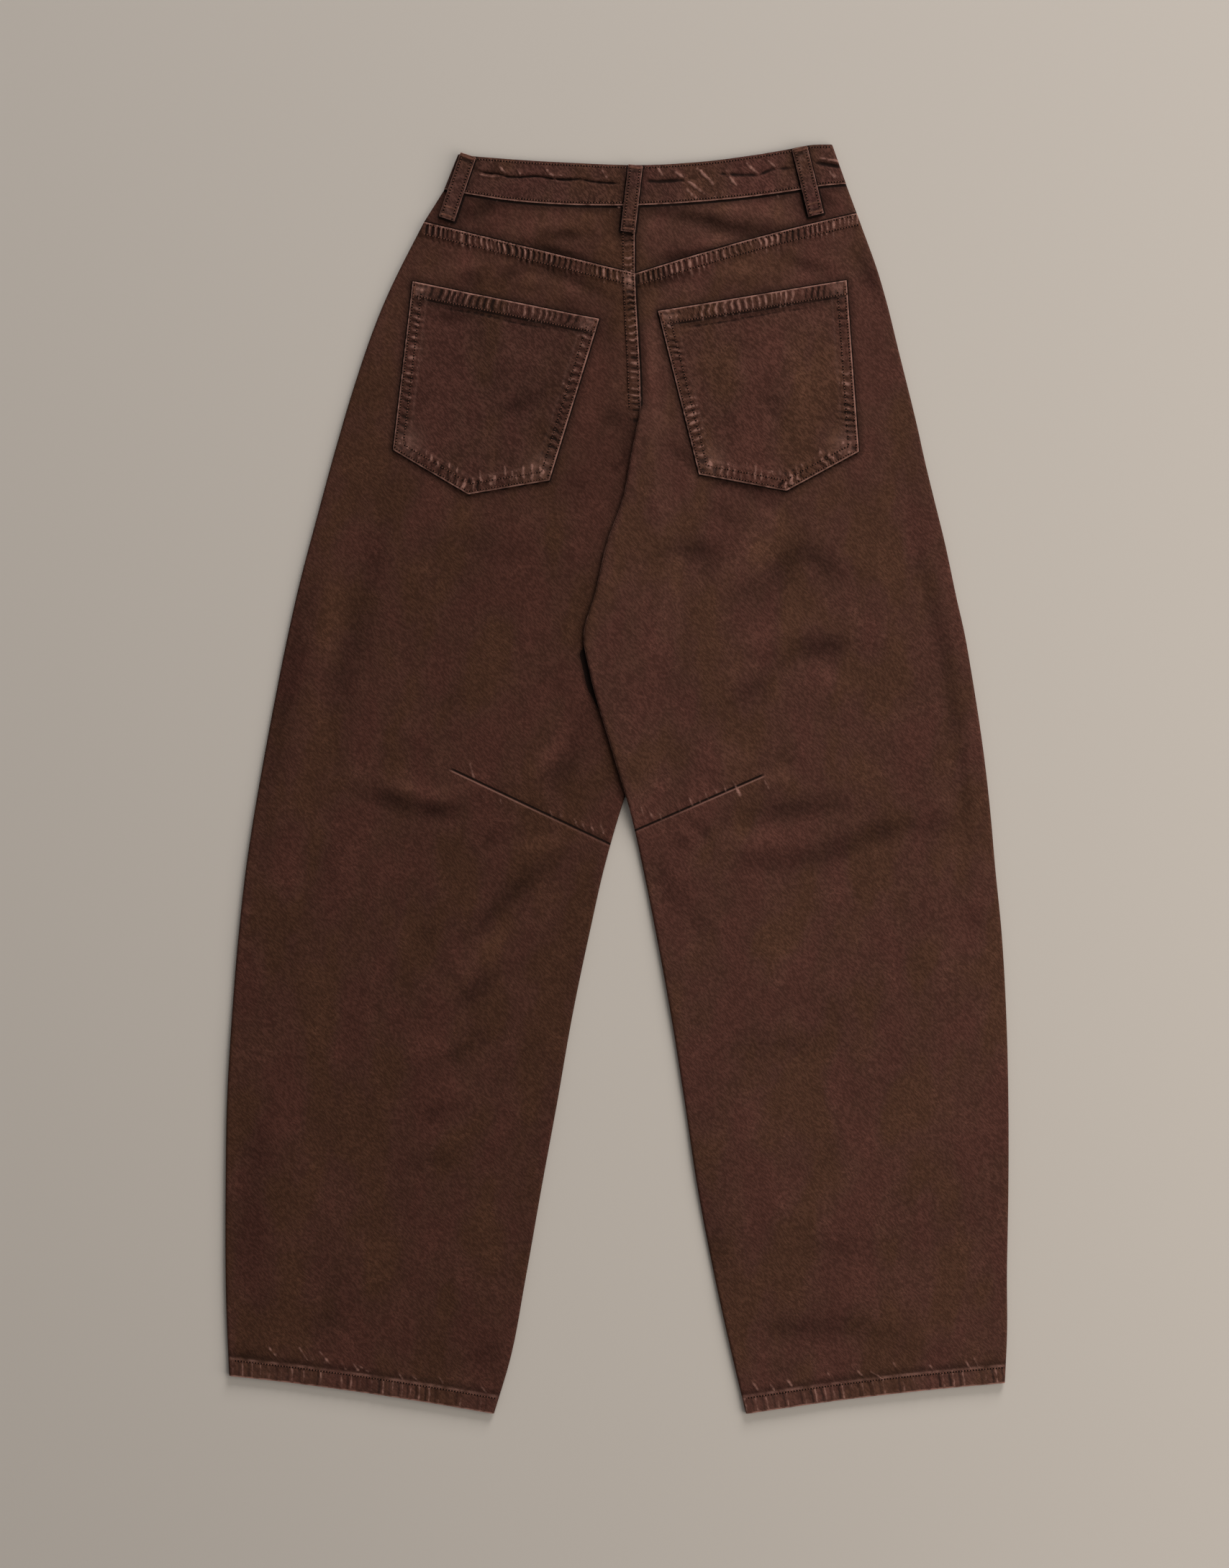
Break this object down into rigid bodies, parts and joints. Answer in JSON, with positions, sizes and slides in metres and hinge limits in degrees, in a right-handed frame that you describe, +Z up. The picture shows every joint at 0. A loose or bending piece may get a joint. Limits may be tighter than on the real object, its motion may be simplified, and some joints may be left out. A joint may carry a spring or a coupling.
{
  "type": "barrel leg trousers",
  "caption": "Brown denim barrel leg trousers laid flat on their front, back up, with yoke, patch pockets, belt loops and knee darts.",
  "frame": {"origin": "on the floor under the middle of the laid garment's bounding box", "axes": "+Y from the hems to the waist, +X to the wearer's right, +Z up out of the back of the garment"},
  "size_m": [0.6538, 1.0586, 0.0105],
  "materials": {
    "denim_left": "washed brown twill, matt",
    "denim_right": "washed brown twill, matt",
    "denim_front": "washed brown twill, matt",
    "denim_pocket": "washed brown twill, worn at the edges",
    "denim_trim": "washed brown twill, worn at the edges",
    "button_metal": "aged, matt"
  },
  "bodies": {
    "root": {"back_leg_left": "denim_left", "back_leg_right": "denim_right", "front_leg_left": "denim_front", "front_leg_right": "denim_front", "yoke_left": "denim_left", "yoke_right": "denim_right", "waistband_back": "denim_trim", "waistband_front_left": "denim_trim", "waistband_front_right": "denim_trim", "pocket_left": "denim_pocket", "pocket_right": "denim_pocket", "belt_loop_left": "denim_trim", "belt_loop_centre": "denim_trim", "belt_loop_right": "denim_trim", "fly": "denim_front", "fly_button": "button_metal"}
  },
  "joints": []
}
